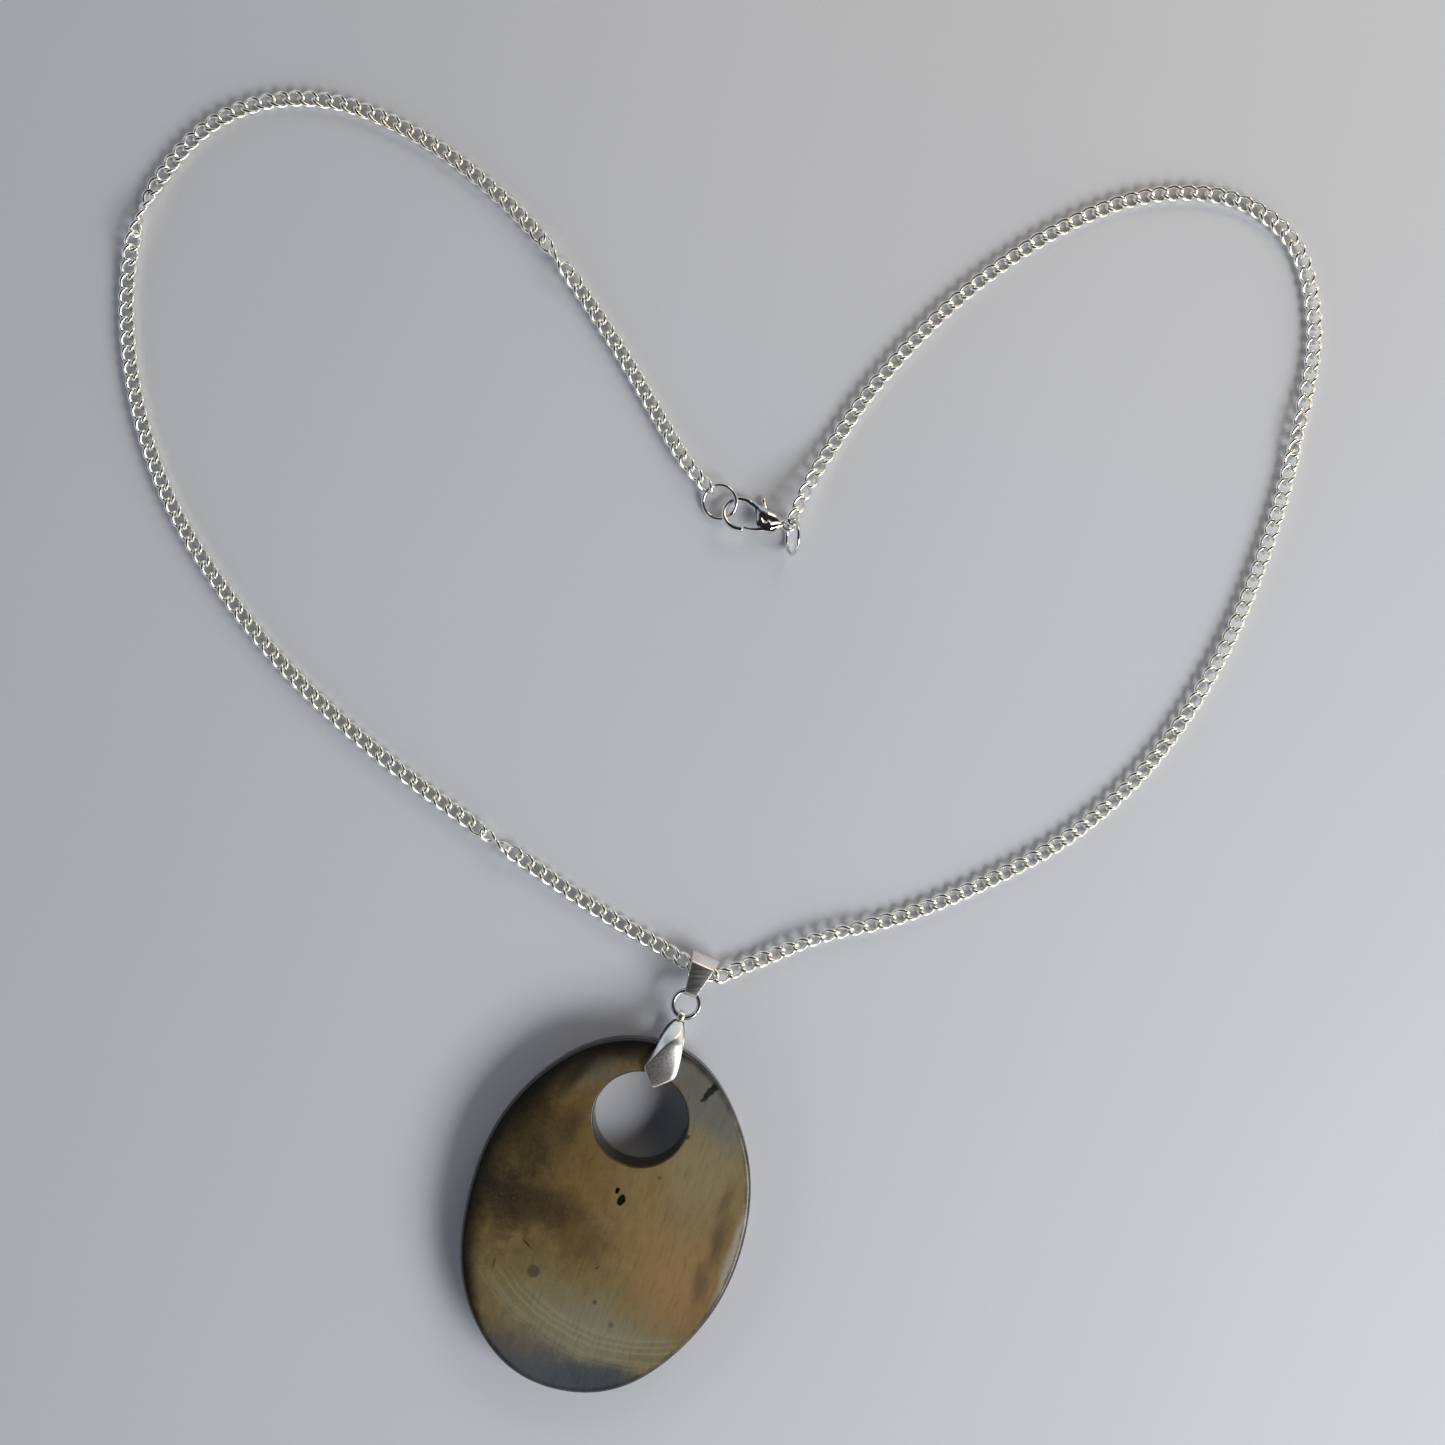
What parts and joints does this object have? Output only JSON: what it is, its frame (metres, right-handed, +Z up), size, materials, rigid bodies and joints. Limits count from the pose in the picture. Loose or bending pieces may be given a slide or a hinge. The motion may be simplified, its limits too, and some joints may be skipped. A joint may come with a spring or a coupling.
{
  "type": "pendant necklace",
  "caption": "Pendant necklace: an oval polished horn disc with an off-centre round hole, on a pinch bail, jump ring and fold-over bail, on a silver curb chain with a lobster clasp.",
  "frame": {"origin": "under the middle of the laid-out necklace, on the surface that it lies on", "axes": "+Z up from that surface; +Y from the pendant towards the clasp; +X towards the side of the chain that ends at the clasp"},
  "size_m": [0.1666, 0.179, 0.0067],
  "materials": {
    "silver_plate": "polished",
    "nickel_wire": "polished",
    "clasp_metal": "polished",
    "brushed_silver": "brushed",
    "satin_silver": "satin",
    "steel": "drawn wire",
    "horn": "polished horn"
  },
  "bodies": {
    "chain": {"left_end_link": "silver_plate", "left_inner_chain": "silver_plate", "left_lobe_links": "silver_plate", "left_outer_chain": "silver_plate", "left_lower_links": "silver_plate", "left_lower_chain": "silver_plate", "bail_links": "silver_plate", "right_lower_chain": "silver_plate", "right_lower_links": "silver_plate", "right_outer_chain": "silver_plate", "right_lobe_links": "silver_plate", "right_inner_chain": "silver_plate", "right_end_link": "silver_plate"},
    "left_ring": {"left_ring": "nickel_wire"},
    "clasp": {"clasp_body": "clasp_metal", "clasp_pin": "steel", "clasp_spring": "steel"},
    "lever": {"clasp_lever": "clasp_metal"},
    "right_ring": {"right_ring": "nickel_wire"},
    "bail": {"fold_bail": "brushed_silver"},
    "bail_ring": {"bail_ring": "nickel_wire"},
    "pinch_bail": {"pinch_bail": "satin_silver"},
    "disc": {"horn_disc": "horn"}
  },
  "joints": [
    {"name": "bail_swing", "type": "hinge", "parent": "chain", "child": "bail", "pos_m": [-0.0027, -0.0316, 0.00205], "axis": [-0.9171, 0.3987, 0], "range_deg": [-20, 90]},
    {"name": "bail_ring_swing", "type": "hinge", "parent": "bail", "child": "bail_ring", "pos_m": [-0.00396, -0.0345, 0.003], "axis": [-0.9171, 0.3987, 0], "range_deg": [-45, 35]},
    {"name": "pinch_bail_swing", "type": "hinge", "parent": "bail_ring", "child": "pinch_bail", "pos_m": [-0.00538, -0.03777, 0.0035], "axis": [-0.9171, 0.3987, 0], "range_deg": [-45, 35]},
    {"name": "disc_turn", "type": "hinge", "parent": "pinch_bail", "child": "disc", "pos_m": [-0.00884, -0.04573, 0.00328], "axis": [-0.0101, -0.0233, 0.9997], "range_deg": [-18, 18]},
    {"name": "left_ring_lift", "type": "hinge", "parent": "chain", "child": "left_ring", "pos_m": [-0.0012, 0.03411, 0.00115], "axis": [-0.3827, -0.9239, 0], "range_deg": [0, 20]},
    {"name": "clasp_fold", "type": "hinge", "parent": "left_ring", "child": "clasp", "pos_m": [0.0013, 0.03195, 0.00127], "axis": [-0.3827, -0.9239, 0], "range_deg": [-28, 0]},
    {"name": "right_ring_fold", "type": "hinge", "parent": "clasp", "child": "right_ring", "pos_m": [0.00947, 0.02969, 0.00118], "axis": [-0.3827, -0.9239, 0], "range_deg": [0, 8]},
    {"name": "lever_open", "type": "hinge", "parent": "clasp", "child": "lever", "pos_m": [0.00659, 0.02956, 0.00153], "axis": [-0.1038, -0.294, -0.9502], "range_deg": [0, 26], "stiffness_Nm_per_rad": 0.0008, "springref_deg": -11.46}
  ],
  "couplings": [
    {"joint": "clasp_fold", "follows": "left_ring_lift", "ratio": -1.4},
    {"joint": "right_ring_fold", "follows": "left_ring_lift", "ratio": 0.4}
  ]
}
